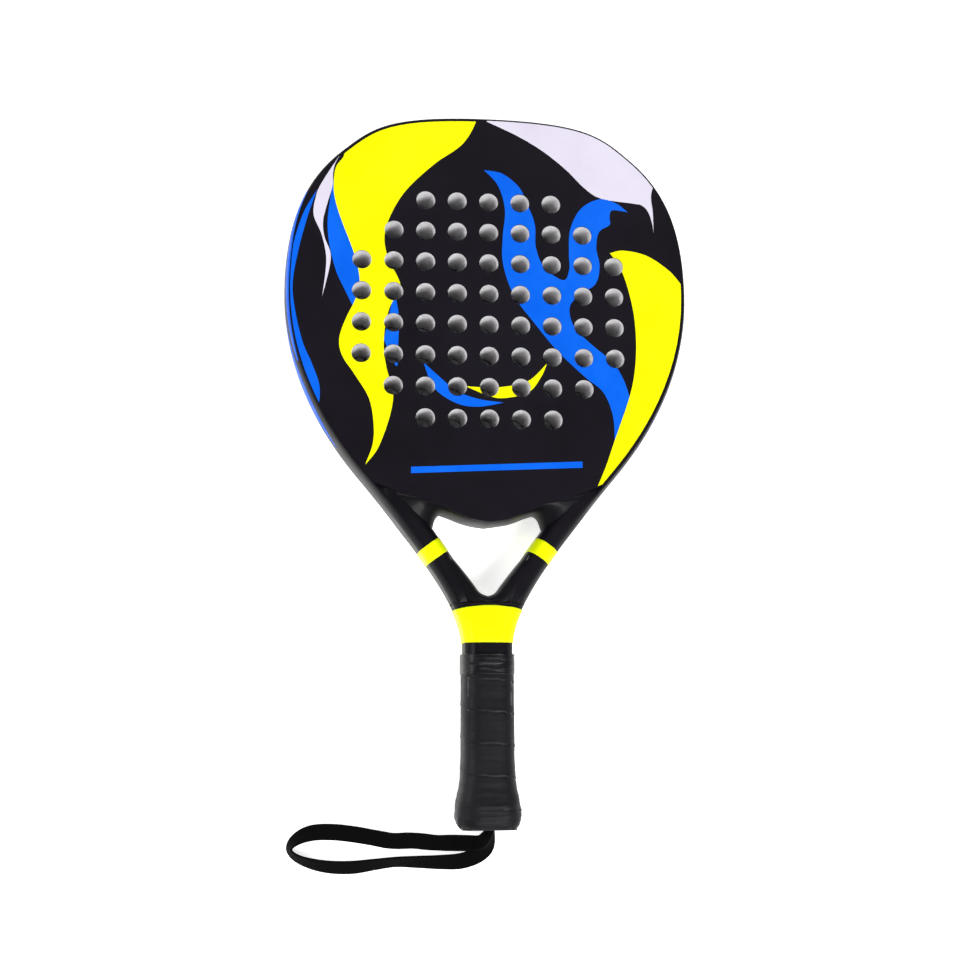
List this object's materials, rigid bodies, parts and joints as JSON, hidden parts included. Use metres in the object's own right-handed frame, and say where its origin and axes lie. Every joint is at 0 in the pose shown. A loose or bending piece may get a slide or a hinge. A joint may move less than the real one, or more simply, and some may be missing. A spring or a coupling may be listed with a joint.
{
  "type": "padel racket",
  "caption": "Padel racket: perforated foam head between two printed laminate faces in a hollow frame, open throat, wound handle and a webbing wrist strap.",
  "frame": {"origin": "middle of the racket's length and width, on the surface that its rear face lies on", "axes": "+Y from the butt to the head, +Z out of the front face, +X to the right seen from the front with the head up"},
  "size_m": [0.2606, 0.4822, 0.038],
  "materials": {
    "carbon_laminate": "black gel-coated carbon laminate, soft gloss",
    "face_laminate": "black epoxy-glass face laminate, satin",
    "film_yellow": "yellow printed film, satin",
    "film_blue": "blue printed film, satin",
    "film_white": "white printed film, satin",
    "band_yellow": "fluorescent yellow band, gloss",
    "eva_foam": "light grey closed-cell EVA foam, matt",
    "filler_foam": "grey rigid foam filler",
    "bladder_film": "translucent nylon film",
    "shell_plastic": "moulded handle shell",
    "cap_plastic": "moulded black cap, satin",
    "steel": "plain steel tacks",
    "grip_pu": "black polyurethane wound grip, soft sheen",
    "tape_black": "black vinyl finishing tape, creased",
    "webbing": "black woven webbing"
  },
  "bodies": {
    "racket": {"frame_tube": "carbon_laminate", "frame_bladder": "bladder_film", "bridge_shell": "carbon_laminate", "bridge_foam": "filler_foam", "core_foam": "eva_foam", "face_front": "face_laminate", "face_rear": "face_laminate", "film_front_yellow": "film_yellow", "film_front_blue": "film_blue", "film_front_white": "film_white", "film_rear_yellow": "film_yellow", "film_rear_blue": "film_blue", "film_rear_white": "film_white", "side_stripes": "film_blue", "arm_bands": "band_yellow", "neck_band": "band_yellow", "handle_core": "filler_foam", "handle_shell_front": "shell_plastic", "handle_shell_rear": "shell_plastic", "butt_cap": "cap_plastic", "cap_tacks": "steel", "base_grip": "grip_pu", "grip_tape": "tape_black", "strap_anchor": "webbing"},
    "strap": {"wrist_strap": "webbing"}
  },
  "joints": [
    {"name": "strap_swing", "type": "hinge", "parent": "racket", "child": "strap", "pos_m": [0, -0.234, 0.01], "axis": [0, 0, 1], "range_deg": [0, 120]}
  ]
}
